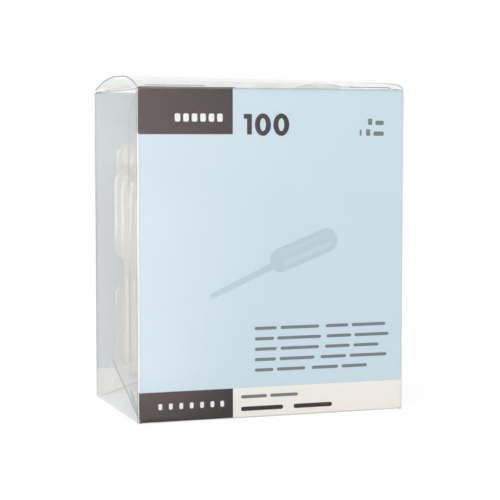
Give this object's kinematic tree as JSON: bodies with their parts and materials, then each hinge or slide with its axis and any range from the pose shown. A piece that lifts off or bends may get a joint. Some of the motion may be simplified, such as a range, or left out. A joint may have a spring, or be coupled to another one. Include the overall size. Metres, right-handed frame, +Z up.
{
  "type": "clear folding box of dropper pipettes",
  "caption": "Clear plastic folding carton with a bowed tuck-in lid, filled head to tail with blow-moulded squeeze-bulb dropper pipettes.",
  "frame": {"origin": "middle of the box's base, on the surface that it stands on", "axes": "+Z up, +Y from the printed front wall to the back wall, +X to the right seen from the front"},
  "size_m": [0.1232, 0.0794, 0.1499],
  "materials": {
    "clear_film": "clear glossy PET sheet, creased and glued, printed on its front and back walls",
    "milky_plastic": "natural milky LDPE, blow moulded, satin"
  },
  "bodies": {
    "box": {"clear_box": "clear_film", "bulb_down_row_1": "milky_plastic", "bulb_down_row_2": "milky_plastic", "bulb_down_row_3": "milky_plastic", "bulb_down_row_4": "milky_plastic", "bulb_down_row_5": "milky_plastic", "bulb_down_row_6": "milky_plastic", "bulb_up_row_1": "milky_plastic", "bulb_up_row_2": "milky_plastic", "bulb_up_row_3": "milky_plastic", "bulb_up_row_4": "milky_plastic", "bulb_up_row_5": "milky_plastic", "lying_bulbs_left": "milky_plastic", "lying_bulbs_right": "milky_plastic"},
    "lid": {"tuck_lid": "clear_film"}
  },
  "joints": [
    {"name": "lid_hinge", "type": "hinge", "parent": "box", "child": "lid", "pos_m": [0, -0.03975, 0.144], "axis": [1, 0, 0], "range_deg": [0, 200]}
  ]
}
